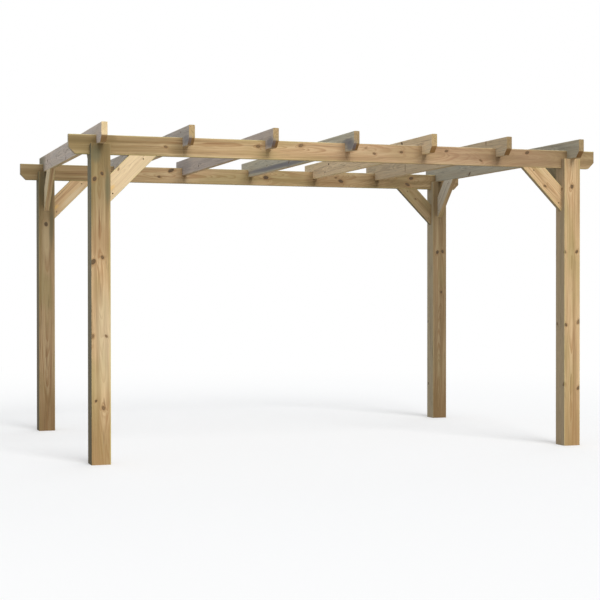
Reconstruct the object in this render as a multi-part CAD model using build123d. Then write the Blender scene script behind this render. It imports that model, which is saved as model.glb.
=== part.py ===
from build123d import *
from math import atan2, degrees, hypot
import os

# A free-standing timber pergola. Lengths are in millimetres. X runs along the two beams,
# Y along the rafters and Z is up. The origin is on the ground, in the middle of the four posts.

# Posts
post_side = 145.0
post_height = 2355.0
post_spacing_x = 3900.0
post_spacing_y = 2620.0

# Beams, which run along X and stand in slots in the post heads
beam_height = 145.0
beam_thickness = 45.0
beam_overhang = 155.0
head_slot_depth = 75.0

# Rafters, which run along Y, rest on the post heads and lap over the beams
rafter_count = 7
rafter_height = 145.0
rafter_thickness = 45.0
rafter_overhang = 195.0
beam_notch_depth = 35.0

# Knee braces, mitred between a post and the timber above it
brace_width = 145.0
brace_thickness = 45.0
brace_reach = 355.0
brace_drop = 355.0

# Sawn and planed finish
end_cut = 50.0
arris_radius = 4.0
joint_clearance = 0.5

# Lengths and heights that follow from the sizes above
beam_length = post_spacing_x + post_side + 2 * beam_overhang
beam_bottom = post_height - head_slot_depth
beam_top = beam_bottom + beam_height
rafter_length = post_spacing_y + beam_thickness + 2 * rafter_overhang
rafter_bottom = post_height
rafter_notch_depth = beam_top - rafter_bottom - beam_notch_depth
rafter_pitch = post_spacing_x / (rafter_count - 1)

# Centre lines
post_x = {"left": -post_spacing_x / 2, "right": post_spacing_x / 2}
beam_y = {"front": -post_spacing_y / 2, "back": post_spacing_y / 2}
rafter_x = [post_x["left"] + i * rafter_pitch for i in range(rafter_count)]


def timber(length, height, thickness):
    """A planed bar along X with eased long edges, centred on the origin."""
    section = RectangleRounded(thickness, height, arris_radius)
    return extrude(Plane.YZ * section, amount=length / 2, both=True)


def end_wedge(length, height, thickness):
    """What the saw takes off the lower corner at the +X end of a bar, at 45 degrees."""
    end, underside = length / 2, -height / 2
    outline = Polyline(
        (end - 2 * end_cut, underside - end_cut),
        (end + end_cut, underside - end_cut),
        (end + end_cut, underside + 2 * end_cut),
        close=True,
    )
    return extrude(Plane.XZ * make_face(outline), amount=thickness, both=True)


def roof_board(length, height, thickness):
    """A beam or rafter along X with its lower corner sawn off at both ends."""
    wedge = end_wedge(length, height, thickness)
    return timber(length, height, thickness) - wedge - wedge.rotate(Axis.Z, 180)


def housing(across, board_thickness, depth):
    """A block along X that opens a seat for a board, this deep in a face at Z = 0."""
    width = board_thickness + 2 * joint_clearance
    return Box(2 * across, width, 2 * depth)


def post():
    """A square post at the origin, with a slot along X in its head for the beam."""
    bar = Rot(0, 90, 0) * timber(post_height, post_side, post_side)
    slot = housing(post_side, beam_thickness, head_slot_depth)
    return Pos(0, 0, post_height / 2) * bar - Pos(0, 0, post_height) * slot


def beam():
    """A beam at Y = 0 and its final height, notched on top under every rafter."""
    board = roof_board(beam_length, beam_height, beam_thickness)
    board = Pos(0, 0, beam_bottom + beam_height / 2) * board
    notch = Rot(0, 0, 90) * housing(beam_thickness, rafter_thickness, beam_notch_depth)
    for x in rafter_x:
        board -= Pos(x, 0, beam_top) * notch
    return board


def rafter():
    """A rafter at X = 0 and its final height, notched below over both beams."""
    board = Rot(0, 0, 90) * roof_board(rafter_length, rafter_height, rafter_thickness)
    board = Pos(0, 0, rafter_bottom + rafter_height / 2) * board
    notch = housing(rafter_thickness, beam_thickness, rafter_notch_depth)
    for y in beam_y.values():
        board -= Pos(0, y, rafter_bottom) * notch
    return board


def knee_brace():
    """A brace from a post face at X = 0 up to the underside of a timber at Z = 0."""
    outer_edge = hypot(brace_reach, brace_drop)
    slope = degrees(atan2(brace_drop, brace_reach))
    bar = Pos(0, 0, brace_width / 2) * timber(outer_edge, brace_width, brace_thickness)
    bar = Pos(brace_reach / 2, 0, -brace_drop / 2) * Rot(0, -slope, 0) * bar
    bar = split(bar, bisect_by=Plane.YZ, keep=Keep.TOP)
    return split(bar, bisect_by=Plane.XY, keep=Keep.BOTTOM)


def write(shape, node):
    """Write one sub-part to its own file."""
    export_step(shape, f"parts/{node}.step")


os.makedirs("parts", exist_ok=True)

one_post = post()
one_beam = beam()
one_rafter = rafter()
one_brace = knee_brace()

for row, y in beam_y.items():
    write(Pos(0, y, 0) * one_beam, f"{row}_beam")
    for side, x in post_x.items():
        write(Pos(x, y, 0) * one_post, f"{row}_{side}_post")

        # Both braces leave the post on its two faces towards the middle of the pergola.
        inward_x = -1 if x > 0 else 1
        inward_y = -1 if y > 0 else 1
        foot_on_x_face = Pos(x + inward_x * post_side / 2, y, beam_bottom)
        foot_on_y_face = Pos(x, y + inward_y * post_side / 2, rafter_bottom)
        turned_along_x = Rot(0, 0, 0 if inward_x > 0 else 180) * one_brace
        turned_along_y = Rot(0, 0, 90 * inward_y) * one_brace
        write(foot_on_x_face * turned_along_x, f"{row}_{side}_beam_brace")
        write(foot_on_y_face * turned_along_y, f"{row}_{side}_rafter_brace")

for number, x in enumerate(rafter_x, start=1):
    write(Pos(x, 0, 0) * one_rafter, f"rafter_{number}")
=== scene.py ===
from math import cos, pi, radians, sin, sqrt
from random import Random

import bmesh
import bpy
from mathutils import Euler, Matrix, Vector, noise


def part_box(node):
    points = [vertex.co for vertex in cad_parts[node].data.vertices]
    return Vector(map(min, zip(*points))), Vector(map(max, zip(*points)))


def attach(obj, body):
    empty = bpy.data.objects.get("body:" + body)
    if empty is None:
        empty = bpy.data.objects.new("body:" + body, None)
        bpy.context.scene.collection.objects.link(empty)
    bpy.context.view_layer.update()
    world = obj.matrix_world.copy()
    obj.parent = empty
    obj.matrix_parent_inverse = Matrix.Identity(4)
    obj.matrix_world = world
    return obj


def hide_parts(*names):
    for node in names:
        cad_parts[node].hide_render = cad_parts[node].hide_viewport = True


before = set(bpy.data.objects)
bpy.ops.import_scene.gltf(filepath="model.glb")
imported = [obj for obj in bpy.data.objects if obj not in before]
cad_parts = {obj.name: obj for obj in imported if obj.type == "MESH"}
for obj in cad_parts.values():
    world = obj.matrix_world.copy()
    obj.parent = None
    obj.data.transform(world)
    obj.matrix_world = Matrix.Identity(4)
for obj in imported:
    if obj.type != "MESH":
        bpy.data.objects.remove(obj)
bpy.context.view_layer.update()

MM = 0.001
scene = bpy.context.scene
UP = Vector((0, 0, 1))
ALONG_X = Vector((1, 0, 0))
ALONG_Y = Vector((0, 1, 0))

# Timber sizes, read from the frame
POST_LOW, POST_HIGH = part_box("front_left_post")
BEAM_LOW, BEAM_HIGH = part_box("front_beam")
BRACE_LOW, BRACE_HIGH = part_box("front_left_beam_brace")
RAFTER_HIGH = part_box("rafter_1")[1]
POST_SIDE = POST_HIGH.x - POST_LOW.x
POST_TOP = POST_HIGH.z
BOARD_THICKNESS = BEAM_HIGH.y - BEAM_LOW.y
BOARD_HEIGHT = BEAM_HIGH.z - BEAM_LOW.z
BEAM_BOTTOM = BEAM_LOW.z
RAFTER_TOP = RAFTER_HIGH.z
BRACE_REACH = BRACE_HIGH.x - BRACE_LOW.x
END_CUT = 50 * MM

# Edges: the solid's rounded arrises, how far they wear and in what lengths, how far an edge is broken
# after sawing and how sharp it is then, how near two points are one, and how level a flat face is
ARRIS_RADIUS = 4 * MM
ARRIS_WEAR = 1.6 * MM
STATION_PITCH = 20 * MM
SAW_BREAK = 0.9 * MM
SHARP = radians(50)
WELD = 0.01 * MM
FLAT = 0.999

# How wide a growth ring is, in millimetres. Branches: how far one rises for each metre it goes out, the
# spacing of whorls, a post's first whorl and the branches in each, how far they stay from a front whose
# knots are seen ones, and the least wood that shows one. They fall in a post that stands on its head
RING_WIDTHS = (3.6, 5.4)
POST_BRANCH_RISE = 0.7
BOARD_BRANCH_RISE = 1.2
WHORL_PITCH = 0.53
FIRST_WHORL = 0.42
WHORL_BRANCHES = 5
SEEN_ARC = radians(50)
LEAST_WOOD = 5 * MM
STANDS_ON_ITS_HEAD = ("front_left_post", "back_right_post")
FAR = 10.0

# Screws: the pocket's radius, how far its cutter stands out, how deep the head sits, a brace screw's slant,
# and how far it is from the corner between post and timber: along the timber, down the post, and off both
POCKET_RADIUS = 5.6 * MM
POCKET_OUT = 8 * MM
SUNK_DEPTH = 1.0 * MM
SLANTED_DEPTH = 4.5 * MM
SCREW_SLANT = radians(38)
BRACE_SCREW_ALONG = 255 * MM
BRACE_SCREW_DOWN = 286 * MM
BRACE_SCREW_OFF = 25 * MM
POST_SCREWS = ((-32 * MM, 24 * MM), (32 * MM, 52 * MM))

# Splits: how far a cutter stands out of the wood, how thin a split closes at its ends, where checks start
# beside a post's slot, the steps of a check, and the split that is seen: face, start, end, place across,
# width and depth
CUTTER_OUT = 1.5 * MM
CLOSED_SHARE = 0.04
SLOT_HALF = BOARD_THICKNESS / 2 + 3 * MM
CHECK_STEPS = 8
SEEN_SPLIT = (("w", -1), 1.58, 1.88, -15 * MM, 0.9 * MM, 8 * MM)


def srgb(red, green, blue):
    """A colour given as screen values from 0 to 255, in the linear values that shaders take."""
    def linear(value):
        share = value / 255
        return share / 12.92 if share <= 0.04045 else ((share + 0.055) / 1.055) ** 2.4
    return (linear(red), linear(green), linear(blue), 1.0)


# Colours of treated softwood and of screws
EARLYWOOD = srgb(218, 186, 140)
LATEWOOD = srgb(176, 132, 86)
HEARTWOOD = srgb(196, 148, 106)
PINK_WOOD = srgb(168, 130, 108)
GREEN_STAIN = srgb(166, 152, 94)
# Olive stain, which also paints shade
OLIVE_STAIN_AND_SHADE = srgb(126, 106, 66)
# Blue stain, which also paints shade
BLUE_STAIN_AND_SHADE = srgb(124, 124, 134)
# Umber streaks, also used to paint shade on the back beam
UMBER_STREAK_AND_SHADE = srgb(148, 112, 72)
PALE_STREAK = srgb(232, 208, 162)
PALE_ARRIS = srgb(222, 206, 136)
# Bleached wood, which also paints sunlight
BLEACHED_AND_SUNLIT = srgb(238, 220, 182)
# What tops weather to and left faces show: weathering, with painted shade and light of that side
SILVER_PINK = srgb(216, 205, 196)
SILVER_BLUE = srgb(196, 192, 186)
SILVER_GREEN = srgb(206, 203, 184)
SILVER_TAN = srgb(222, 204, 172)
SILVER_PALE = srgb(228, 222, 204)
SHADE_GREEN = srgb(122, 119, 98)
SHADE_BROWN = srgb(72, 66, 44)
SHADE_TAN = srgb(186, 168, 138)
# Moss, which also paints shade
MOSS_AND_SHADE = srgb(116, 110, 80)
RESIN = srgb(230, 188, 112)
END_EARLYWOOD = srgb(204, 176, 130)
END_LATEWOOD = srgb(160, 122, 76)
KNOT_HALO = srgb(158, 118, 72)
KNOT_LIGHT = srgb(112, 86, 54)
KNOT_DARK = srgb(76, 58, 37)
KNOT_RIM = srgb(52, 40, 26)
PITCH = srgb(120, 82, 50)
# Drip stain on cut faces that look down, which also paints the shade there
DRIP_STAIN_AND_SHADE = srgb(152, 108, 56)
DAMP = srgb(160, 122, 74)
# Dark of hairlines and checks, which also paints shade inside recesses
DARK_LINE_AND_RECESS_SHADE = srgb(70, 50, 34)
BRONZE = srgb(142, 122, 82)
DULL_BRONZE = srgb(108, 92, 64)
BROWN_SPECK = srgb(92, 58, 36)

# Knots seen on the shown faces: place along and across the grain and radius, in millimetres, and how
# deep the colour is. An empty list is a face seen to have none
SEEN_KNOTS = {
    "front_left_post": (
        (2097, -45, 12, 1.0), (2137, 8, 10, 1.0), (1493, -55, 14, 0.9), (1524, 10, 10, 0.8),
        (944, -66, 12, 0.5), (946, 37, 9, 0.5), (471, -38, 7, 0.9), (419, 15, 11, 0.6)),
    "back_left_post": ((1875, -6, 16, 0.9),),
    "back_right_post": ((1654, -24, 13, 0.9), (1661, 30, 12, 0.9), (1255, 17, 10, 0.8)),
    "front_beam": (
        (-1453, -2, 8, 0.6), (-733, 24, 10, 0.6), (-390, 41, 11, 0.6), (222, -2, 8, 0.7), (150, 38, 6, 0.3),
        (450, 16, 9, 0.8), (840, 36, 9, 0.8), (1144, -29, 8, 0.7), (1559, 44, 11, 0.9)),
    "back_beam": (
        (-786, 45, 14, 0.9), (-897, -15, 8, 0.8), (146, 4, 15, 1.0), (913, -12, 14, 1.0), (864, 19, 7, 0.7),
        (1659, 32, 13, 1.0), (1620, -28, 12, 0.9)),
    "front_left_beam_brace": ((-27, 55, 5, 0.45),),
    "back_left_beam_brace": (),
    "rafter_3": ((683, -32, 9, 0.9),),
    "rafter_4": ((-949, -60, 10, 0.8), (58, -31, 10, 0.9), (699, -8, 8, 0.5)),
    "rafter_5": ((-930, 53, 11, 0.9), (837, 31, 10, 0.9), (937, -33, 7, 0.5)),
    "rafter_6": ((-300, 18, 9, 0.8),),
    "rafter_7": ((505, -49, 11, 0.8),),
}

# Marks seen there, all oval and tapered: place along and across the grain, half length and half width,
# in millimetres, then the colour and its share
SEEN_MARKS = {
    "front_left_post": (
        (1785, -15, 130, 5, PITCH, 0.75), (1830, 6, 70, 3, PITCH, 0.5), (1260, -13, 95, 5, PITCH, 0.6),
        (1100, -22, 60, 3, PITCH, 0.4), (450, -6, 50, 8, PITCH, 0.6), (200, -14, 70, 5, PITCH, 0.35),
        # The moss marks at the head are partly painted shadow under the beam and rafter end
        (2040, 48, 150, 26, MOSS_AND_SHADE, 0.7), (2280, -36, 80, 46, MOSS_AND_SHADE, 0.75),
        (960, 8, 430, 75, BLEACHED_AND_SUNLIT, 0.36), (800, 60, 200, 14, PALE_ARRIS, 0.6),
        (1630, 0, 170, 90, UMBER_STREAK_AND_SHADE, 0.4), (590, 0, 150, 90, PALE_STREAK, 0.22)),
    "back_left_post": (
        # Its moss marks are partly painted shade
        (2220, 0, 220, 80, MOSS_AND_SHADE, 0.7), (1740, 0, 200, 44, PALE_STREAK, 0.5),
        (1850, 45, 220, 26, MOSS_AND_SHADE, 0.6)),
    "front_beam": (
        (-750, 25, 190, 4, PITCH, 0.5), (-200, 41, 230, 4, PITCH, 0.6), (1240, 20, 190, 4, PITCH, 0.5),
        (-1370, 28, 90, 4, PITCH, 0.5), (-1060, 32, 150, 5, PITCH, 0.6), (700, 40, 180, 3, PITCH, 0.4),
        # The olive marks at the beam's left end are partly painted shade
        (-2120, 34, 190, 36, OLIVE_STAIN_AND_SHADE, 0.6), (-1375, -14, 70, 44, OLIVE_STAIN_AND_SHADE, 0.45),
        (-1870, 50, 60, 30, OLIVE_STAIN_AND_SHADE, 0.5), (950, 0, 1500, 200, PINK_WOOD, 0.38)),
    "back_beam": (
        (-1730, -5, 230, 4, PITCH, 0.6), (-1730, -50, 230, 4, PITCH, 0.6), (-880, -12, 150, 4, PITCH, 0.5),
        # The broad umber mark and the olive mark at the left end are painted shade
        (160, 4, 120, 5, PITCH, 0.6), (780, 0, 260, 90, UMBER_STREAK_AND_SHADE, 0.45),
        (-2060, 0, 200, 90, OLIVE_STAIN_AND_SHADE, 0.35)),
    "front_left_beam_brace": ((-158, -7, 34, 17, RESIN, 0.6), (150, 30, 60, 12, PALE_STREAK, 0.5)),
    "back_left_beam_brace": (
        # The bleached band is partly painted sunlight
        (-158, -7, 40, 16, RESIN, 0.7), (20, -40, 190, 24, BLEACHED_AND_SUNLIT, 0.5), (-40, 52, 110, 4, PITCH, 0.6)),
    "rafter_1": (
        (390, -7, 90, 4, DARK_LINE_AND_RECESS_SHADE, 0.6), (-40, 4, 80, 4, DARK_LINE_AND_RECESS_SHADE, 0.5),
        # The moss mark at the back end is painted shade
        (1100, -20, 60, 5, DARK_LINE_AND_RECESS_SHADE, 0.4), (1530, 0, 420, 120, MOSS_AND_SHADE, 0.8)),
    # The blue marks at the noses of rafters 2 to 4 are partly painted shade
    "rafter_2": ((-1450, -30, 110, 44, BLUE_STAIN_AND_SHADE, 0.6),),
    "rafter_3": ((-1450, -30, 110, 44, BLUE_STAIN_AND_SHADE, 0.7), (1300, 0, 420, 100, BLUE_STAIN_AND_SHADE, 0.4)),
    "rafter_4": (
        (-1390, 2, 150, 30, BLUE_STAIN_AND_SHADE, 0.75), (-1450, -34, 110, 44, BLUE_STAIN_AND_SHADE, 0.75),
        (400, -50, 1300, 26, BLUE_STAIN_AND_SHADE, 0.8)),
    "rafter_6": ((533, -8, 8, 52, PITCH, 0.9), (-1157, 58, 8, 34, PITCH, 0.9)),
}

# How high a post's corners are pale, and over what height that fades
PALE_CORNER_TOP = 2.05
PALE_CORNER_FADE = 0.35

# Finish of a piece that the next table doesn't set apart: how far its left face takes its worn colour, how
# light the piece and its ends are, how far both are bleached (partly painted sunlight), how pale its arrises
# are and its right ones further, what a post's left face turns to lower down, and where each olive stain
# (partly painted shade) starts and is full, with its share. Worn colour: weathering and painted side light
PLAIN_FINISH = {
    "grey": 0.7, "tone": 1.0, "end_tone": 1.0, "bleach_and_sunlight": 0.0, "end_bleach_and_sunlight": 0.0, "arris": 0.5,
    "pale_corner": 0.0, "low_wear_and_side_light": SHADE_BROWN, "stains_and_shade": ()}
FINISH = {
    # Its olive stains at the head are partly painted shadow under the beam and rafter end
    "front_left_post": {
        "grey": 0.95, "arris": 0.1, "pale_corner": 0.6, "stains_and_shade": ((1.45, 2.05, 1.2), (2.08, 2.34, 0.9))},
    "front_right_post": {"grey": 0.85, "wear_and_side_light": SHADE_TAN, "low_wear_and_side_light": SHADE_TAN},
    # The back posts, the back beam and the back right beam brace: lower tone, partly painted shade
    "back_left_post": {"tone": 0.62, "arris": 0.3, "stains_and_shade": ((1.2, 2.2, 1.1),)},
    # Its left face is pale: painted sunlight on that side
    "back_right_post": {
        "grey": 0.95, "tone": 0.58, "arris": 0.2, "wear_and_side_light": BLEACHED_AND_SUNLIT, "low_wear_and_side_light": BLEACHED_AND_SUNLIT,
        # The first olive stain darkens the whole post: painted shade
        "stains_and_shade": ((-1.0, 0.0, 0.5), (1.5, 2.2, 0.9))},
    # Its olive stains are partly painted shade
    "front_beam": {"stains_and_shade": ((-0.5, -2.0, 1.1), (0.1, 1.8, 1.0))},
    "back_beam": {"tone": 0.72, "stains_and_shade": ((-0.7, -1.9, 0.9), (0.5, 1.7, 1.1))},
    # Its higher tone and bleach are partly painted sunlight
    "front_left_beam_brace": {"tone": 1.14, "bleach_and_sunlight": 0.45},
    "front_right_beam_brace": {"tone": 1.05},
    "back_left_beam_brace": {"tone": 0.84},
    # Lower tone, partly painted shade
    "back_right_beam_brace": {"tone": 0.50},
    "front_left_rafter_brace": {"grey": 0.6},
    "back_left_rafter_brace": {"grey": 0.85, "wear_and_side_light": BLEACHED_AND_SUNLIT},
    "back_right_rafter_brace": {"grey": 0.9, "tone": 0.85, "wear_and_side_light": SILVER_PALE},
    # Its lighter, bleached end is partly painted sunlight
    "rafter_1": {"grey": 0.82, "end_tone": 1.35, "end_bleach_and_sunlight": 0.35, "wear_and_side_light": SILVER_PINK},
    "rafter_2": {"grey": 0.92, "wear_and_side_light": SILVER_BLUE},
    "rafter_3": {"grey": 0.90, "tone": 0.88, "wear_and_side_light": SILVER_PINK},
    "rafter_4": {"grey": 0.90, "tone": 0.96, "end_tone": 0.75, "wear_and_side_light": SILVER_GREEN},
    "rafter_5": {"grey": 0.68, "tone": 1.22, "end_tone": 0.80, "wear_and_side_light": SILVER_TAN},
    "rafter_6": {"grey": 0.80, "tone": 0.88, "end_tone": 0.72, "wear_and_side_light": SILVER_TAN},
    "rafter_7": {"grey": 0.82, "tone": 0.80, "end_tone": 0.85, "wear_and_side_light": SILVER_GREEN},
}


class Timber:
    """One sawn piece: its node, and a frame with U along the grain, V across and W through it."""

    def __init__(self, node, slot, origin, grain, across, half_u, shown=-1):
        self.node = node
        self.slot = slot
        self.grain = grain
        self.shown = shown
        self.is_post = slot == "post_timber"
        self.half_v = (POST_SIDE if self.is_post else BOARD_HEIGHT) / 2
        self.half_w = (POST_SIDE if self.is_post else BOARD_THICKNESS) / 2
        self.low_u = 0.0 if self.is_post else -half_u
        self.high_u = self.low_u + 2 * half_u
        turn = Matrix((grain, across, grain.cross(across))).transposed().to_4x4()
        self.place = Matrix.Translation(origin) @ turn
        self.to_piece = self.place.inverted()
        self.random = Random(node)
        self.pith = self.find_pith()
        self.ring_width = self.random.uniform(*RING_WIDTHS) * MM
        rise = POST_BRANCH_RISE if self.is_post else BOARD_BRANCH_RISE
        self.branch_rise = -rise if node in STANDS_ON_ITS_HEAD else rise
        # Tops weather to this and left faces show it: weathering and painted side light
        wear_and_side_light = SILVER_GREEN if slot in ("beam_timber", "rafter_timber") else SHADE_GREEN
        self.finish = {**PLAIN_FINISH, "wear_and_side_light": wear_and_side_light, **FINISH.get(node, {})}
        self.knots, self.splits, self.checks, self.pockets = [], [], [], []

    def find_pith(self):
        """Where the tree's centre runs: inside a post, and behind the back face of a board."""
        chance = self.random.uniform
        lean = Vector((0, chance(-7, 7) * MM, chance(-7, 7) * MM))
        if self.is_post:
            start = Vector((0, chance(-16, 16) * MM, chance(-16, 16) * MM))
        else:
            behind = self.half_w + chance(12, 30) * MM
            start = Vector((0, chance(-30, 30) * MM, -self.shown * behind))
        return start, lean

    def pith_at(self, u):
        start, lean = self.pith
        return Vector((u, start.y + lean.y * u, start.z + lean.z * u))

    def crossing(self, u, angle):
        """How far out from the pith a line at this angle round the grain enters and leaves the piece."""
        start = self.pith_at(u)
        enters, leaves = 0.0, FAR
        for place, half, slope in ((start.y, self.half_v, cos(angle)), (start.z, self.half_w, sin(angle))):
            if abs(slope) < 1e-6:
                continue
            sides = sorted(((-half - place) / slope, (half - place) / slope))
            enters, leaves = max(enters, sides[0]), min(leaves, sides[1])
        return enters, leaves

    def out_from_pith(self, u, angle, distance):
        """The point at this distance from the pith, square to the grain."""
        return self.pith_at(u) + Vector((0, cos(angle), sin(angle))) * distance

    def branch(self, u, angle, radius):
        """A branch that leaves the pith at this angle round the grain, if the sawn piece holds it."""
        enters, leaves = self.crossing(u, angle)
        if leaves > enters + LEAST_WOOD:
            place = self.out_from_pith(u, angle, leaves)
            place.x += self.branch_rise * leaves
            self.knots.append((place, radius, self.random.uniform(0.45, 1.0)))

    def on_face(self, face, u, across, out):
        """The point of a long face, v or w with a sign, that lies this far across it and out from it."""
        axis, sign = face
        if axis == "w":
            return Vector((u, across, sign * (self.half_w + out)))
        return Vector((u, sign * (self.half_v + out), across))


def centre_of(node):
    low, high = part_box(node)
    return (low + high) / 2


def make_brace(node, corner, inward, shown_side):
    """The brace in this corner between a post and the underside of the timber above it."""
    grain = (inward + UP).normalized()
    across = (UP - inward).normalized()
    outer_middle = corner + (inward - UP) * BRACE_REACH / 2
    shown = 1 if grain.cross(across).dot(shown_side) > 0 else -1
    brace = Timber(node, "brace_timber", outer_middle + across * BOARD_HEIGHT / 2, grain, across,
                   BRACE_REACH / sqrt(2), shown)
    brace.corner = corner
    brace.inward = inward
    return brace


posts, beams, rafters, braces = [], [], [], []
for row, inward_y in (("front", ALONG_Y), ("back", -ALONG_Y)):
    node = f"{row}_beam"
    beams.append(Timber(node, "beam_timber", centre_of(node), ALONG_X, UP, BEAM_HIGH.x, shown=1))
    for side, inward_x in (("left", ALONG_X), ("right", -ALONG_X)):
        node = f"{row}_{side}_post"
        middle = centre_of(node)
        foot = Vector((middle.x, middle.y, 0))
        posts.append(Timber(node, "post_timber", foot, UP, ALONG_X, POST_TOP / 2))
        kinds = (("beam", inward_x, BEAM_BOTTOM, -ALONG_Y), ("rafter", inward_y, POST_TOP, -ALONG_X))
        for kind, inward, top, shown_side in kinds:
            corner = Vector((middle.x, middle.y, top)) + inward * POST_SIDE / 2
            braces.append(make_brace(f"{row}_{side}_{kind}_brace", corner, inward, shown_side))
for number in range(1, 8):
    node = f"rafter_{number}"
    rafters.append(Timber(node, "rafter_timber", centre_of(node), ALONG_Y, UP, RAFTER_HIGH.y))
timbers = posts + beams + rafters + braces


def add_post_knots(post, chance):
    """Whorls of branches all round, left out towards the front where the knots there are seen ones."""
    facing = radians(-90)
    u = FIRST_WHORL
    while u < post.high_u - 0.1:
        for k in range(WHORL_BRANCHES):
            angle = k / WHORL_BRANCHES * 2 * pi + chance(-0.5, 0.5)
            aside = abs((angle - facing + pi) % (2 * pi) - pi) > SEEN_ARC
            if aside or post.node not in SEEN_KNOTS:
                post.branch(u + chance(-25, 25) * MM, angle, chance(6, 13) * MM)
        u += WHORL_PITCH + chance(-70, 70) * MM


def add_board_knots(board, chance):
    """Two branches from each whorl, those that grew through the board."""
    u = board.low_u + chance(0.15, 0.45)
    while u < board.high_u - 0.08:
        for count in range(2):
            angle = board.shown * pi / 2 + chance(-0.85, 0.85)
            board.branch(u + chance(-30, 30) * MM, angle, chance(6, 11) * MM)
        u += WHORL_PITCH + chance(-90, 90) * MM


def add_knots(timber):
    """The knots that show, then branches that grow where the tree put them."""
    chance = timber.random.uniform
    for u, v, radius, depth in SEEN_KNOTS.get(timber.node, ()):
        surface = Vector((u * MM, v * MM, timber.shown * timber.half_w))
        timber.knots.append((surface, radius * MM, depth))
    if timber.is_post:
        add_post_knots(timber, chance)
    elif timber.node in SEEN_KNOTS:
        return
    elif timber.slot == "brace_timber":
        angle = timber.shown * pi / 2 + chance(-0.6, 0.6)
        timber.branch(chance(-0.12, 0.14), angle, chance(5, 8) * MM)
    else:
        add_board_knots(timber, chance)


def add_splits(timber):
    """Splits that open along the grain as timber dries."""
    chance = timber.random.uniform
    if timber.is_post:
        for face in (("v", -1), ("v", 1), ("w", -1), ("w", 1)):
            if timber.node == "front_left_post" and face == SEEN_SPLIT[0]:
                timber.splits.append(SEEN_SPLIT)
                continue
            start = chance(0.2, 1.0)
            length = chance(0.45, 0.9)
            across, width, depth = chance(-14, 14) * MM, chance(1.2, 2.2) * MM, chance(12, 18) * MM
            timber.splits.append((face, start, start + length, across, width, depth))
    elif timber.slot != "brace_timber":
        margin, longest = 0.4, 0.32
        third = (timber.high_u - timber.low_u - 2 * margin) / 3
        for count in range(3):
            start = timber.low_u + margin + third * count + chance(0, third - longest)
            face = ("w", timber.random.choice((-1, 1)))
            length = chance(0.14, 0.3)
            across, width, depth = chance(-35, 35) * MM, chance(0.6, 1.0) * MM, chance(3, 5) * MM
            timber.splits.append((face, start, start + length, across, width, depth))


def add_checks(timber):
    """Checks that open in the end grain: end, angle round the pith, start and end from it, width, depth."""
    chance = timber.random.uniform
    if timber.slot == "brace_timber":
        return
    if timber.is_post:
        for cheek in (-1, 1):
            angle = cheek * pi / 2 + chance(-0.5, 0.5)
            start = (SLOT_HALF - cheek * timber.pith_at(timber.high_u).z) / abs(sin(angle))
            length, width, depth = chance(22, 36) * MM, chance(0.8, 1.4) * MM, chance(14, 24) * MM
            timber.checks.append((1, angle, start, start + length, width, depth))
        return
    for end, u in ((-1, timber.low_u), (1, timber.high_u)):
        for aside in (-0.62, 0.0, 0.62):
            angle = timber.shown * pi / 2 + aside + chance(-0.22, 0.22)
            enters, leaves = timber.crossing(u, angle)
            start = enters + chance(0.05, 0.3) * (leaves - enters)
            stop = enters + chance(0.65, 0.95) * (leaves - enters)
            lowest = min(timber.out_from_pith(u, angle, reach).y for reach in (start, stop))
            if leaves > enters and lowest > END_CUT + 4 * MM - timber.half_v:
                width, depth = chance(0.6, 1.3) * MM, chance(10, 20) * MM
                timber.checks.append((end, angle, start, stop, width, depth))


class Screw:
    """A countersunk screw: where its pocket opens, which way it goes in, and how deep its head sits."""

    def __init__(self, timber, mouth, into, depth):
        self.mouth = mouth
        self.into = into.normalized()
        self.depth = depth
        self.spin = timber.random.uniform(0, pi / 3)
        timber.pockets.append(self)


def add_screws():
    """The screws that hold the frame, in three groups."""
    groups = {"brace_screws": [], "rafter_screws": [], "post_screws": []}
    for brace in braces:
        for side in (-1, 1):
            face_out = brace.place.to_3x3() @ Vector((0, 0, side))
            surface = face_out * brace.half_w
            high = brace.corner + brace.inward * BRACE_SCREW_ALONG - UP * BRACE_SCREW_OFF + surface
            low = brace.corner + brace.inward * BRACE_SCREW_OFF - UP * BRACE_SCREW_DOWN + surface
            for mouth, towards in ((high, UP), (low, -brace.inward)):
                into = -face_out * cos(SCREW_SLANT) + towards * sin(SCREW_SLANT)
                groups["brace_screws"].append(Screw(brace, mouth, into, SLANTED_DEPTH))
    for rafter in rafters:
        for beam in beams:
            mouth = Vector((rafter.place.translation.x, beam.place.translation.y, RAFTER_TOP))
            groups["rafter_screws"].append(Screw(rafter, mouth, -UP, SUNK_DEPTH))
    for post in posts:
        foot = post.place.translation
        inward = -1 if foot.y > 0 else 1
        face = Vector((foot.x, foot.y + inward * POST_SIDE / 2, 0))
        for aside, below in POST_SCREWS:
            mouth = face + Vector((aside, 0, POST_TOP - below))
            groups["post_screws"].append(Screw(post, mouth, Vector((0, -inward, 0)), SUNK_DEPTH))
    return groups


def swell_at(share):
    """How open a split is at this share of its length."""
    return max(CLOSED_SHARE, max(0.0, sin(pi * share)) ** 0.7)


def skin(bm, rings, smooth=False):
    """A closed body through rings of points."""
    loops = [[bm.verts.new(point) for point in ring] for ring in rings]
    count = len(loops[0])
    for near, far in zip(loops, loops[1:]):
        for k in range(count):
            after = (k + 1) % count
            bm.faces.new((near[k], near[after], far[after], far[k])).smooth = smooth
    bm.faces.new(reversed(loops[0]))
    bm.faces.new(loops[-1])


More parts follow.
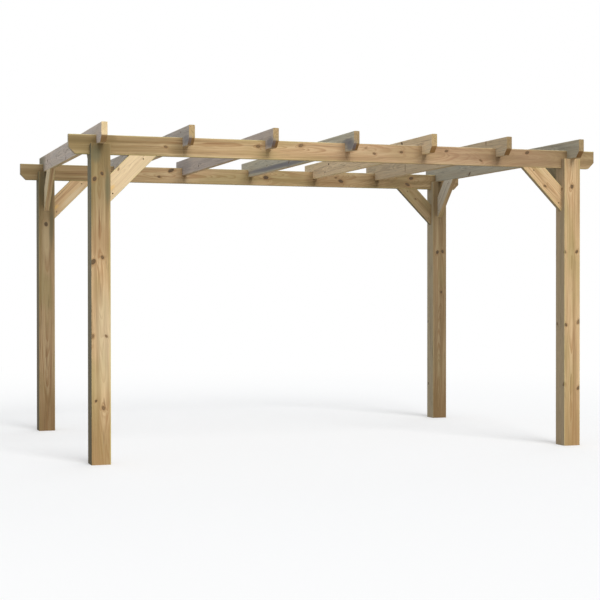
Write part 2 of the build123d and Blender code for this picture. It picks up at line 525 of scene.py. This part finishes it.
def split_rings(timber, split):
    """A split that follows the grain: rings of three points, two at its mouth and one at its root."""
    face, start, end, across, width, depth = split
    count = max(6, round((end - start) / STATION_PITCH))
    shift = timber.random.uniform(0, 50)
    rings = []
    for i in range(count + 1):
        u = start + (end - start) * i / count
        swell = swell_at(i / count)
        ragged = 1 + 0.35 * noise.noise(Vector((u * 40, shift, 0)))
        half = width / 2 * swell * ragged
        middle = across + 5 * MM * noise.noise(Vector((u * 3, shift, 5))) \
            + 0.7 * MM * noise.noise(Vector((u * 30, shift, 9)))
        rings.append((timber.on_face(face, u, middle - half, CUTTER_OUT),
                      timber.on_face(face, u, middle + half, CUTTER_OUT),
                      timber.on_face(face, u, middle, -depth * swell)))
    return rings


def check_rings(timber, check):
    """The same for a check that runs outwards across an end."""
    end, angle, start, stop, width, depth = check
    face_u = timber.high_u if end == 1 else timber.low_u
    outside = Vector((end * CUTTER_OUT, 0, 0))
    inward = Vector((-end * depth, 0, 0))
    side = Vector((0, -sin(angle), cos(angle)))
    shift = timber.random.uniform(0, 50)
    rings = []
    for i in range(CHECK_STEPS + 1):
        reach = start + (stop - start) * i / CHECK_STEPS
        swell = swell_at(i / CHECK_STEPS)
        drift = side * 0.8 * MM * noise.noise(Vector((reach * 90, shift, 0)))
        middle = timber.out_from_pith(face_u, angle, reach) + drift
        half = side * width / 2 * swell
        rings.append((middle + outside - half, middle + outside + half, middle + inward * swell))
    return rings


def turned(axis):
    """A rotation that takes Z to this axis."""
    return axis.to_track_quat("Z", "Y").to_matrix().to_4x4()


def pocket_cutter(bm, timber, screw):
    """A drilled pocket, open at the face and flat under the screw's head."""
    length = POCKET_OUT + screw.depth
    middle = screw.mouth + screw.into * (screw.depth - length / 2)
    turn = turned(timber.to_piece.to_3x3() @ -screw.into)
    place = Matrix.Translation(timber.to_piece @ middle) @ turn
    bmesh.ops.create_cone(bm, cap_ends=True, segments=20, radius1=POCKET_RADIUS * 0.96,
                          radius2=POCKET_RADIUS * 1.04, depth=length, matrix=place)


def new_object(name, data):
    thing = bpy.data.objects.new(name, data)
    scene.collection.objects.link(thing)
    return thing


def mesh_from(name, bm):
    """A new mesh that holds this shape, which is freed."""
    mesh = bpy.data.meshes.new(name)
    bm.to_mesh(mesh)
    bm.free()
    return mesh


def cut_away(bm, timber):
    """Takes the splits, the checks and the screw pockets out of the wood."""
    cutter = bmesh.new()
    for split in timber.splits:
        skin(cutter, split_rings(timber, split))
    for check in timber.checks:
        skin(cutter, check_rings(timber, check))
    for screw in timber.pockets:
        pocket_cutter(cutter, timber, screw)
    bmesh.ops.recalc_face_normals(cutter, faces=cutter.faces)
    body = new_object("cut_body", mesh_from("cut_body", bm))
    tool = new_object("cut_tool", mesh_from("cut_tool", cutter))
    modifier = body.modifiers.new("cut", "BOOLEAN")
    modifier.operation = "DIFFERENCE"
    modifier.solver = "EXACT"
    modifier.object = tool
    result = bmesh.new()
    result.from_object(body, bpy.context.evaluated_depsgraph_get())
    for thing in (body, tool):
        bpy.data.meshes.remove(thing.data)
    return result


def add_stations(bm):
    """Cuts the long faces into short lengths, so that their edges can be worn."""
    low = min(vertex.co.x for vertex in bm.verts)
    high = max(vertex.co.x for vertex in bm.verts)
    stations = round((high - low) / STATION_PITCH)
    for i in range(1, stations):
        u = low + (high - low) * i / stations
        bmesh.ops.bisect_plane(bm, geom=bm.verts[:] + bm.edges[:] + bm.faces[:], dist=WELD,
                               plane_co=(u, 0, 0), plane_no=(1, 0, 0))


def wear_arrises(bm, timber):
    """Wears the long rounded edges unevenly, with a few dents, always towards the wood."""
    shift = timber.random.uniform(0, 50)
    reach = ARRIS_RADIUS * 1.02
    for vertex in bm.verts:
        u, v, w = vertex.co
        near_v = abs(v) - (timber.half_v - reach)
        near_w = abs(w) - (timber.half_w - reach)
        if near_v <= 0 or near_w <= 0:
            continue
        middle = min(near_v, near_w) / reach
        edge = Vector((u * 6 + shift, 3.0 if v > 0 else 9.0, 3.0 if w > 0 else 9.0))
        slow = 0.5 + 0.5 * noise.noise(edge)
        dent = max(0.0, noise.noise(edge * 3.7) - 0.25) * 1.6
        depth = ARRIS_WEAR * middle * (0.55 * slow + dent)
        vertex.co.y -= depth * (1 if v > 0 else -1)
        vertex.co.z -= depth * (1 if w > 0 else -1)


def timber_mesh(timber):
    """The solid's shape with broken saw cuts, splits, screw pockets and worn arrises."""
    bm = bmesh.new()
    bm.from_mesh(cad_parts[timber.node].data)
    bm.transform(timber.to_piece)
    bmesh.ops.remove_doubles(bm, verts=bm.verts, dist=WELD)
    bmesh.ops.dissolve_limit(bm, angle_limit=radians(1), verts=bm.verts, edges=bm.edges)
    sharp = [edge for edge in bm.edges if edge.is_convex and edge.calc_face_angle(0) > SHARP]
    bmesh.ops.bevel(bm, geom=sharp, offset=SAW_BREAK, segments=2, profile=0.5, affect="EDGES",
                    clamp_overlap=True)
    bmesh.ops.dissolve_degenerate(bm, dist=WELD, edges=bm.edges)
    bm = cut_away(bm, timber)
    add_stations(bm)
    wear_arrises(bm, timber)
    bm.normal_update()
    for face in bm.faces:
        face.smooth = max(abs(part) for part in face.normal) < FLAT
    places = [vertex.co.copy() for vertex in bm.verts]
    bm.transform(timber.place)
    mesh = mesh_from(timber.node + "_timber", bm)
    layer = mesh.attributes.new("grain", "FLOAT_VECTOR", "POINT")
    for index, place in enumerate(places):
        layer.data[index].vector = place
    return mesh


# A screw's outline below its recess, as radius and height in millimetres, and the recess's six lobes
SCREW_OUTLINE = ((2.2, -7.0), (2.2, -3.4), (4.6, -0.8), (4.75, -0.45), (4.6, -0.1), (3.4, 0.1))
SCREW_POINTS = 24
HEAD_RISE = 0.6 * MM
RECESS_RADIUS = 1.75 * MM
RECESS_LOBE = 0.32 * MM
RECESS_EDGE = 0.12 * MM
RECESS_DEPTH = 1.9 * MM


def screw_mesh(name, screws):
    """Countersunk heads with a six-lobed recess, each on a short length of its shank."""
    turns = [2 * pi * k / SCREW_POINTS for k in range(SCREW_POINTS)]
    star = [RECESS_RADIUS + RECESS_LOBE * cos(6 * turn) for turn in turns]
    levels = [[(radius * MM, height * MM)] * SCREW_POINTS for radius, height in SCREW_OUTLINE]
    levels.append([(radius, RECESS_EDGE) for radius in star])
    levels.append([(radius * 0.94, -RECESS_DEPTH) for radius in star])
    bm = bmesh.new()
    for screw in screws:
        head = screw.mouth + screw.into * (screw.depth - HEAD_RISE)
        place = Matrix.Translation(head) @ turned(-screw.into) @ Matrix.Rotation(screw.spin, 4, "Z")
        skin(bm, [[place @ Vector((radius * cos(turn), radius * sin(turn), height))
                   for turn, (radius, height) in zip(turns, level)] for level in levels], smooth=True)
    return mesh_from(name, bm)


class Graph:
    """Adds nodes to a node tree. Every value is a constant or another node's socket."""

    def __init__(self, tree):
        self.tree = tree

    def feed(self, node, values):
        """Feeds a node's sockets, in their order, or by name or number from a dictionary."""
        keyed = values if isinstance(values, dict) else dict(enumerate(values))
        for key, value in keyed.items():
            if isinstance(value, bpy.types.NodeSocket):
                self.tree.links.new(value, node.inputs[key])
            else:
                node.inputs[key].default_value = value

    def node(self, kind, values=(), **settings):
        node = self.tree.nodes.new(kind)
        for name, setting in settings.items():
            setattr(node, name, setting)
        self.feed(node, values)
        return node

    def math(self, operation, *values):
        return self.node("ShaderNodeMath", values, operation=operation).outputs[0]

    def times(self, value, *others):
        for other in others:
            value = self.math("MULTIPLY", value, other)
        return value

    def line(self, value, slope, base):
        """The slope times the value, plus the base."""
        return self.math("MULTIPLY_ADD", value, slope, base)

    def vector(self, operation, *values):
        return self.node("ShaderNodeVectorMath", values, operation=operation).outputs["Vector"]

    def measure(self, operation, *values):
        return self.node("ShaderNodeVectorMath", values, operation=operation).outputs["Value"]

    def scaled(self, vector, factor):
        """A vector or a colour times one value."""
        values = {"Vector": vector[:3] if isinstance(vector, tuple) else vector, "Scale": factor}
        return self.node("ShaderNodeVectorMath", values, operation="SCALE").outputs["Vector"]

    def parts(self, vector):
        return self.node("ShaderNodeSeparateXYZ", (vector,)).outputs

    def band(self, value, low, high):
        """Nothing below low, all above high, and smooth between."""
        return self.node("ShaderNodeMapRange", {"Value": value, "From Min": low, "From Max": high},
                         interpolation_type="SMOOTHSTEP").outputs[0]

    def under(self, value, low, high):
        """All below low, nothing above high."""
        return self.math("SUBTRACT", 1.0, self.band(value, low, high))

    def noise(self, vector, stretch, detail=2.0, roughness=0.5):
        """Noise from 0 to 1 and as a colour, with this many waves per metre along U, V and W."""
        stretched = self.vector("MULTIPLY", vector, stretch)
        values = {"Vector": stretched, "Scale": 1.0, "Detail": detail, "Roughness": roughness}
        return self.node("ShaderNodeTexNoise", values).outputs

    def line_noise(self, value, detail=1.0):
        """Noise along one value."""
        return self.node("ShaderNodeTexNoise", {"W": value, "Scale": 1.0, "Detail": detail},
                         noise_dimensions="1D").outputs[0]

    def cell_edges(self, vector, per_metre):
        """How far a point is from the edge of its cell, in cells."""
        return self.node("ShaderNodeTexVoronoi", {"Vector": vector, "Scale": per_metre},
                         feature="DISTANCE_TO_EDGE").outputs["Distance"]

    def blend(self, share, first, second):
        """The first colour, and the second by its share."""
        return self.node("ShaderNodeMix", {0: share, 6: first, 7: second}, data_type="RGBA").outputs[2]

    def bump(self, height, strength, distance):
        values = {"Strength": strength, "Distance": distance, "Height": height}
        return self.node("ShaderNodeBump", values).outputs["Normal"]


def branch_group():
    """One branch: how near it is in branch radii, how deep its colour, and how far it pushes the grain."""
    group = bpy.data.node_groups.new("branch", "ShaderNodeTree")
    found = (("Nearest", "Float"), ("Depth", "Float"), ("Bend", "Vector"))
    own = (("Point", "Vector"), ("Start", "Vector"), ("Direction", "Vector"), ("Spread", "Float"),
           ("Own Depth", "Float"))
    for way, sockets in (("INPUT", own + found), ("OUTPUT", found)):
        for name, kind in sockets:
            group.interface.new_socket(name, in_out=way, socket_type="NodeSocket" + kind)
    graph = Graph(group)
    given = graph.node("NodeGroupInput").outputs
    outward = graph.vector("SUBTRACT", given["Point"], given["Start"])
    reach = graph.measure("DOT_PRODUCT", outward, given["Direction"])
    aside = graph.vector("SUBTRACT", outward, graph.scaled(given["Direction"], reach))
    radius = graph.times(graph.math("MAXIMUM", reach, 0.5 * MM), given["Spread"])
    away = graph.math("DIVIDE", graph.measure("LENGTH", aside), radius)
    nearer = graph.math("LESS_THAN", away, given["Nearest"])
    change = graph.math("SUBTRACT", given["Own Depth"], given["Depth"])
    drawn_out = graph.measure("LENGTH", graph.vector("MULTIPLY", aside, (0.45, 1.0, 1.0)))
    share = graph.math("DIVIDE", radius, graph.math("MAXIMUM", drawn_out, radius))
    push = graph.scaled(aside, graph.times(share, share))
    graph.node("NodeGroupOutput", {
        "Nearest": graph.math("MINIMUM", away, given["Nearest"]),
        "Depth": graph.line(nearer, change, given["Depth"]),
        "Bend": graph.vector("ADD", given["Bend"], push)})
    return group


def new_material(name):
    material = bpy.data.materials.new(name)
    material.use_nodes = True
    return material


class Softwood(Graph):
    """One piece's treated softwood, made in layers from the heart of the wood outwards."""

    def __init__(self, timber, branch):
        self.timber = timber
        self.finish = timber.finish
        self.material = new_material(timber.node + "_softwood")
        super().__init__(self.material.node_tree)
        self.find_places(branch)
        self.find_noises()
        self.add_rings()
        self.add_streaks()
        self.add_stains()
        self.add_fibres()
        self.add_knots()
        self.add_end_grain()
        self.add_arrises()
        self.add_weather()
        self.add_marks()
        self.add_surface()

    def shift(self):
        return self.timber.random.uniform(5, 60)

    def cover(self, colour, *shares):
        """Lays a colour over what is there, by the product of its shares."""
        self.colour = self.blend(self.times(*shares), self.colour, colour)

    def follow_branches(self, branch):
        """How near the nearest branch is, how deep its colour, and how all of them bend the grain."""
        found = {"Nearest": 40.0, "Depth": 1.0, "Bend": (0.0, 0.0, 0.0)}
        for surface, radius, depth in self.timber.knots:
            start = self.timber.pith_at(surface.x)
            start.x -= self.timber.branch_rise * (surface - start).length
            outward = surface - start
            own = {"Point": self.point, "Start": start, "Direction": outward.normalized(),
                   "Spread": radius / outward.length, "Own Depth": depth}
            outputs = self.node("ShaderNodeGroup", {**own, **found}, node_tree=branch).outputs
            found = {name: outputs[name] for name in found}
        return found.values()

    def find_places(self, branch):
        """The point in the grain's frame, before and after the knots bend it, and which way a face looks."""
        self.point = self.node("ShaderNodeAttribute", attribute_name="grain").outputs["Vector"]
        self.nearest, self.knot_depth, bend = self.follow_branches(branch)
        self.flow = self.vector("SUBTRACT", self.point, bend)
        seed = Vector((self.shift(), self.shift(), self.shift()))
        self.own = self.vector("ADD", self.flow, seed)
        self.fixed = self.vector("ADD", self.point, seed)
        self.along, self.across, self.through = self.parts(self.point)
        self.flow_across = self.parts(self.flow)[1]
        normal = self.node("ShaderNodeTexCoord").outputs["Normal"]
        self.facing = self.parts(normal)
        self.facing_end = self.math("ABSOLUTE", self.measure("DOT_PRODUCT", normal, tuple(self.timber.grain)))
        self.cut = self.band(self.facing_end, 0.35, 0.60)

    def find_noises(self):
        """Noise that more than one layer uses, most of it drawn out along the grain."""
        self.broad = self.noise(self.own, (0.75, 26, 26), 3.0, 0.55)[0]
        self.middling = self.noise(self.own, (1.6, 75, 75), 3.0, 0.6)[0]
        self.cloud = self.noise(self.own, (1.9, 7, 7))[0]
        self.fibre = self.noise(self.own, (18, 1100, 1100), 2.0, 0.6)[0]
        self.hairline = self.band(self.noise(self.own, (5, 210, 210))[0], 0.62, 0.69)
        self.ragged = self.noise(self.fixed, (90, 90, 90))[0]
        self.near = self.times(self.nearest, self.line(self.ragged, 0.36, 0.82))
        self.clear = self.band(self.near, 0.8, 1.1)

    def add_rings(self):
        """Growth rings round a pith that wanders, with a pinker heart."""
        middle = (0.5, 0.5, 0.5)
        wander = self.vector("SUBTRACT", self.noise(self.own, (1.1, 4, 4))[1], middle)
        wobble = self.vector("SUBTRACT", self.noise(self.own, (7, 30, 30))[1], middle)
        shifted = self.vector("ADD", self.flow, self.scaled(wander, 42 * MM))
        shifted = self.vector("ADD", shifted, self.scaled(wobble, 4 * MM))
        start, lean = self.timber.pith
        pith = self.vector("ADD", self.scaled(tuple(lean), self.along), tuple(start))
        self.from_pith = self.vector("MULTIPLY", self.vector("SUBTRACT", shifted, pith), (0.0, 1.0, 1.0))
        distance = self.measure("LENGTH", self.from_pith)
        age = self.math("DIVIDE", distance, self.timber.ring_width)
        uneven = self.line_noise(self.line(age, 0.4, self.shift()))
        phase = self.math("FRACT", self.line(uneven, 2.2, age))
        late = self.times(self.band(phase, 0.30, 0.86), self.under(phase, 0.91, 1.0))
        contrast = self.line(self.noise(self.own, (0.9, 14, 14), 1.0)[0], 0.9, 0.20)
        self.late = self.times(late, contrast)
        self.colour = self.blend(self.late, EARLYWOOD, LATEWOOD)
        self.cover(HEARTWOOD, self.under(distance, 38 * MM, 78 * MM), 0.60)

    def add_streaks(self):
        """Brown and pale streaks, and a green cast in clouds."""
        self.cover(UMBER_STREAK_AND_SHADE, self.band(self.broad, 0.50, 0.68), 0.50)
        self.cover(PALE_STREAK, self.under(self.broad, 0.34, 0.47), 0.45)
        self.cover(UMBER_STREAK_AND_SHADE, self.band(self.middling, 0.54, 0.70), 0.34)
        self.cover(GREEN_STAIN, self.band(self.cloud, 0.44, 0.68), 0.45)

    def add_stains(self):
        """Olive stains that deepen along the piece, partly painted shade, damp at a post's foot, and
        bleaching, partly painted sunlight.
        """
        uneven = self.line(self.broad, 0.9, 0.15)
        for start, full, share in self.finish["stains_and_shade"]:
            self.cover(OLIVE_STAIN_AND_SHADE, self.band(self.along, start, full), uneven, share)
        if self.timber.is_post:
            splash = self.math("SUBTRACT", self.along, self.times(self.broad, 0.35))
            self.cover(DAMP, self.under(splash, -0.10, 0.45), 0.60)
        # Bleach, partly painted sunlight
        if self.finish["bleach_and_sunlight"]:
            self.cover(BLEACHED_AND_SUNLIT, self.finish["bleach_and_sunlight"])

    def add_fibres(self):
        """Fibres, resin canals and dark hairlines."""
        self.colour = self.scaled(self.colour, self.line(self.fibre, 0.16, 0.92))
        canal = self.noise(self.own, (45, 520, 520), 1.0)[0]
        self.cover(UMBER_STREAK_AND_SHADE, self.band(canal, 0.66, 0.76), 0.3)
        self.cover(DARK_LINE_AND_RECESS_SHADE, self.hairline, 0.32)

    def add_knots(self):
        """Knots with a dark rim, faint uneven rings and fine cracks, in a brown halo."""
        self.inside = self.under(self.near, 0.84, 1.06)
        self.rim = self.times(self.band(self.near, 0.62, 0.92), self.under(self.near, 1.0, 1.22))
        halo = self.under(self.near, 0.95, 2.4)
        phase = self.math("FRACT", self.line(self.ragged, 2.6, self.times(self.near, 3.4)))
        ring = self.times(self.band(phase, 0.25, 0.95), 0.5)
        core = self.times(self.under(self.near, 0.05, 0.6), 0.65)
        knot = self.blend(core, self.blend(ring, KNOT_LIGHT, KNOT_DARK), KNOT_DARK)
        crack = self.under(self.cell_edges(self.fixed, 105), 0.0, 0.06)
        self.crack = self.times(crack, self.under(self.near, 0.55, 0.95))
        self.cover(KNOT_HALO, halo, 0.58)
        self.cover(knot, self.inside, self.knot_depth)
        self.cover(KNOT_RIM, self.rim, self.knot_depth, 0.72)
        self.cover(KNOT_RIM, self.crack, self.knot_depth, 0.8)

    def add_end_grain(self):
        """The ends: rings, rays that open as hair checks, saw marks, and a drip stain with painted shade
        below.
        """
        _, across, through = self.parts(self.from_pith)
        angle = self.math("ARCTAN2", through, across)
        ray_noise = self.line_noise(self.line(angle, 9.0, self.shift()), 2.0)
        ray_line = self.under(self.math("ABSOLUTE", self.math("SUBTRACT", ray_noise, 0.5)), 0.002, 0.016)
        self.ray = self.times(ray_line, self.band(self.ragged, 0.42, 0.6))
        self.saw = self.noise(self.fixed, (60, 1400, 90), 1.0)[0]
        tone = self.finish["end_tone"]
        end = self.blend(self.late, END_EARLYWOOD, END_LATEWOOD)
        # A bleached end, partly painted sunlight
        end = self.blend(self.finish["end_bleach_and_sunlight"], end, BLEACHED_AND_SUNLIT)
        end = self.blend(self.times(self.band(self.cloud, 0.45, 0.75), 0.35), end, GREEN_STAIN)
        end = self.scaled(end, self.line(self.saw, 0.34 * tone, 0.83 * tone))
        end = self.blend(self.times(self.ray, 0.7), end, DARK_LINE_AND_RECESS_SHADE)
        self.cover(end, self.cut, self.band(self.near, 0.8, 1.0))
        # Cut faces that look down are darker: a drip stain and painted shade together
        self.cover(DRIP_STAIN_AND_SHADE, self.under(self.facing[2], -0.65, -0.3), self.cut, 0.85)

    def add_arrises(self):
        """Pale worn arrises, pale sapwood at a corner, and painted shade inside splits, screw pockets and
        other recesses.
        """
        faces = (FAR, self.timber.half_v, self.timber.half_w)
        inset = self.parts(self.vector("SUBTRACT", faces, self.vector("ABSOLUTE", self.point)))
        depth = self.math("MINIMUM", inset[1], inset[2])
        from_arris = self.math("MAXIMUM", inset[1], inset[2])
        wear = self.noise(self.fixed, (9, 60, 60), 3.0, 0.6)[0]
        edge = self.math("SUBTRACT", from_arris, self.times(wear, 12 * MM))
        skin = self.under(depth, 1 * MM, 3 * MM)
        self.cover(PALE_ARRIS, self.under(edge, -4 * MM, 3 * MM), skin, self.finish["arris"])
        if self.finish["pale_corner"]:
            right = self.band(self.across, 0.0, self.timber.half_v * 0.8)
            below = self.under(self.along, PALE_CORNER_TOP - PALE_CORNER_FADE, PALE_CORNER_TOP)
            self.cover(PALE_ARRIS, self.under(edge, -2 * MM, 6 * MM), skin, right, below, self.clear,
                       self.finish["pale_corner"])
        # Painted shade: faces sunk below the long faces, in splits, pockets and other recesses, are darkened
        recess_shade = self.band(depth, 0.8 * MM, 4 * MM)
        self.cover(DARK_LINE_AND_RECESS_SHADE, recess_shade, self.under(self.facing_end, 0.2, 0.5), 0.85)

    def add_weather(self):
        """Grey weathering on the tops, and on the left faces weathering with painted shade and light of that
        side.
        """
        upward = self.times(self.band(self.facing[2], 0.3, 0.9), 0.65)
        # Left faces: weathering together with painted shade and light of that side
        leftward = self.times(self.under(self.facing[0], -0.9, -0.4), self.finish["grey"])
        share = self.times(self.math("MAXIMUM", upward, leftward), self.line(self.broad, 0.9, 0.55))
        self.wear_and_side_light = self.times(self.math("MINIMUM", share, 0.92), self.clear)
        shade = self.times(self.line(self.middling, 0.8, 0.66), self.line(self.late, -0.28, 1.0),
                           self.line(self.hairline, -0.45, 1.0), self.line(self.fibre, 0.3, 0.9))
        wear_and_side_light = self.finish["wear_and_side_light"]
        # Lower down, a post's left face turns to its low colour
        if self.timber.is_post:
            low_down = self.times(self.under(self.along, 0.2, 1.9), 0.8)
            wear_and_side_light = self.blend(low_down, wear_and_side_light, self.finish["low_wear_and_side_light"])
        self.cover(self.scaled(wear_and_side_light, shade), self.wear_and_side_light)

    def add_marks(self):
        """Pitch, scars and stains, some partly painted shade and sunlight, each at its own place on the shown
        side.
        """
        shown = self.band(self.times(self.through, self.timber.shown), -2 * MM, 2 * MM)
        shown = self.times(shown, self.clear)
        across = self.math("ADD", self.flow_across, self.line(self.middling, 10 * MM, -5 * MM))
        for u, v, half_u, half_v, colour, share in SEEN_MARKS.get(self.timber.node, ()):
            off_u = self.line(self.along, 1 / (half_u * MM), -u / half_u)
            off_v = self.line(across, 1 / (half_v * MM), -v / half_v)
            away = self.math("ADD", self.times(off_u, off_u), self.times(off_v, off_v))
            self.cover(colour, self.under(away, 0.0, 1.2), shown, share)

    def add_surface(self):
        """Raised latewood and fibres, proud knots, saw marks on the ends, and how dull it all is."""
        height = self.times(self.late, 0.10)
        for part, share in ((self.fibre, 0.14), (self.middling, 0.5), (self.inside, 0.25),
                            (self.rim, -0.30), (self.crack, -0.5)):
            height = self.line(part, share, height)
        end_height = self.math("SUBTRACT", self.times(self.saw, 0.35), self.times(self.ray, 0.5))
        height = self.line(self.math("SUBTRACT", end_height, height), self.cut, height)
        dull = 0.70
        for part, share in ((self.late, -0.08), (self.wear_and_side_light, 0.12), (self.fibre, 0.12),
                            (self.inside, -0.16), (self.cut, 0.12)):
            dull = self.line(part, share, dull)
        self.feed(self.tree.nodes["Principled BSDF"], {
            "Base Color": self.scaled(self.colour, self.finish["tone"]),
            "Normal": self.bump(height, 0.8, MM), "Roughness": dull, "Specular IOR Level": 0.35})


def screw_metal():
    """Bronzed steel that has dulled, with brown specks."""
    material = new_material("bronzed_steel")
    graph = Graph(material.node_tree)
    point = graph.node("ShaderNodeNewGeometry").outputs["Position"]
    speck = graph.noise(point, (900, 900, 900), 3.0, 0.6)[0]
    patch = graph.noise(point, (140, 140, 140))[0]
    colour = graph.blend(graph.band(patch, 0.4, 0.65), BRONZE, DULL_BRONZE)
    colour = graph.blend(graph.band(speck, 0.56, 0.70), colour, BROWN_SPECK)
    graph.feed(graph.tree.nodes["Principled BSDF"], {
        "Base Color": colour, "Roughness": graph.line(speck, 0.35, 0.30), "Metallic": 0.85,
        "Normal": graph.bump(speck, 0.5, 0.05 * MM)})
    return material


screw_groups = add_screws()
branch = branch_group()
for timber in timbers:
    add_knots(timber)
    add_splits(timber)
    add_checks(timber)
    mesh = timber_mesh(timber)
    mesh.materials.append(Softwood(timber, branch).material)
    piece = new_object(timber.node + "_timber", mesh)
    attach(piece, "root")
    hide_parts(timber.node)
metal = screw_metal()
for name, screws in screw_groups.items():
    mesh = screw_mesh(name, screws)
    mesh.materials.append(metal)
    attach(new_object(name, mesh), "root")


# Camera, solved from the photograph's edges: its place, its angles in degrees, and its focal length as a
# share of the picture's width
CAMERA_PLACE = (-3.884, -11.603, 1.297)
CAMERA_TURN = -18.765
CAMERA_TILT = -0.492
CAMERA_ROLL = -0.046
FOCAL_SHARE = 1406.65 / 600
SENSOR = 36.0

camera_data = bpy.data.cameras.new("camera")
camera_data.sensor_width = SENSOR
camera_data.lens = SENSOR * FOCAL_SHARE
camera = new_object("camera", camera_data)
upright = Euler((radians(90 + CAMERA_TILT), 0, radians(CAMERA_TURN)), "XYZ").to_matrix().to_4x4()
rolled = Matrix.Rotation(radians(CAMERA_ROLL), 4, "Z")
camera.matrix_world = Matrix.Translation(CAMERA_PLACE) @ upright @ rolled
scene.camera = camera

# Floor: pale near the part, where it takes the shadow, and white further out
FLOOR_HALF = 60.0
FLOOR_SEEN = (0.92, 0.92, 0.92, 1)
FLOOR_LIGHTING = (0.36, 0.36, 0.36, 1)
WHITE = (1, 1, 1, 1)
WHITE_FROM = 3.0
WHITE_BY = 11.0
NEAR_WHITE_SHARE = 0.25

# Light: a soft key from the front and right, a weak fill from behind and right, each with its strength,
# softness in degrees and direction, and an even sky
SUNS = {"key": (2.1, 34, (-0.12, 0.78, -0.62)), "fill": (0.95, 70, (-0.55, -0.75, -0.22))}
SKY_COLOUR = (0.96, 0.98, 1.0, 1)
SKY_STRENGTH = 0.55


def mixed_shader(graph, share, first, second):
    return graph.node("ShaderNodeMixShader", (share, first, second)).outputs[0]


def shown_as(graph, lighting, seen):
    """One shader lights the part, and the other is what the camera, a gloss or a clear body shows."""
    rays = graph.node("ShaderNodeLightPath").outputs
    mirrored = graph.math("MAXIMUM", rays["Is Glossy Ray"], rays["Is Transmission Ray"])
    return mixed_shader(graph, graph.math("MAXIMUM", rays["Is Camera Ray"], mirrored), lighting, seen)


def floor_material():
    material = new_material("pale_floor")
    graph = Graph(material.node_tree)
    graph.tree.nodes.remove(graph.tree.nodes["Principled BSDF"])
    seen = graph.node("ShaderNodeBsdfDiffuse", (FLOOR_SEEN,)).outputs[0]
    lighting = graph.node("ShaderNodeBsdfDiffuse", (FLOOR_LIGHTING,)).outputs[0]
    white = graph.node("ShaderNodeEmission", (WHITE, 1.0)).outputs[0]
    place = graph.node("ShaderNodeNewGeometry").outputs["Position"]
    out = graph.band(graph.measure("LENGTH", place), WHITE_FROM, WHITE_BY)
    near = mixed_shader(graph, graph.line(out, 1 - NEAR_WHITE_SHARE, NEAR_WHITE_SHARE), seen, white)
    graph.feed(graph.tree.nodes["Material Output"], {"Surface": shown_as(graph, lighting, near)})
    return material


def sky_world():
    world = bpy.data.worlds.new("world")
    world.use_nodes = True
    graph = Graph(world.node_tree)
    sky = graph.tree.nodes["Background"]
    graph.feed(sky, {"Color": SKY_COLOUR, "Strength": SKY_STRENGTH})
    backdrop = graph.node("ShaderNodeBackground", (WHITE, 1.0)).outputs[0]
    graph.feed(graph.tree.nodes["World Output"], {"Surface": shown_as(graph, sky.outputs[0], backdrop)})
    return world


def add_sun(name, strength, softness, direction):
    data = bpy.data.lights.new(name, "SUN")
    data.energy = strength
    data.angle = radians(softness)
    sun = new_object(name, data)
    sun.rotation_mode = "QUATERNION"
    sun.rotation_quaternion = Vector(direction).to_track_quat("-Z", "Y")


plane = bmesh.new()
bmesh.ops.create_grid(plane, x_segments=1, y_segments=1, size=FLOOR_HALF)
floor = new_object("floor", mesh_from("floor", plane))
floor.data.materials.append(floor_material())
for name, sun in SUNS.items():
    add_sun(name, *sun)
scene.world = sky_world()
scene.view_settings.view_transform = "Standard"
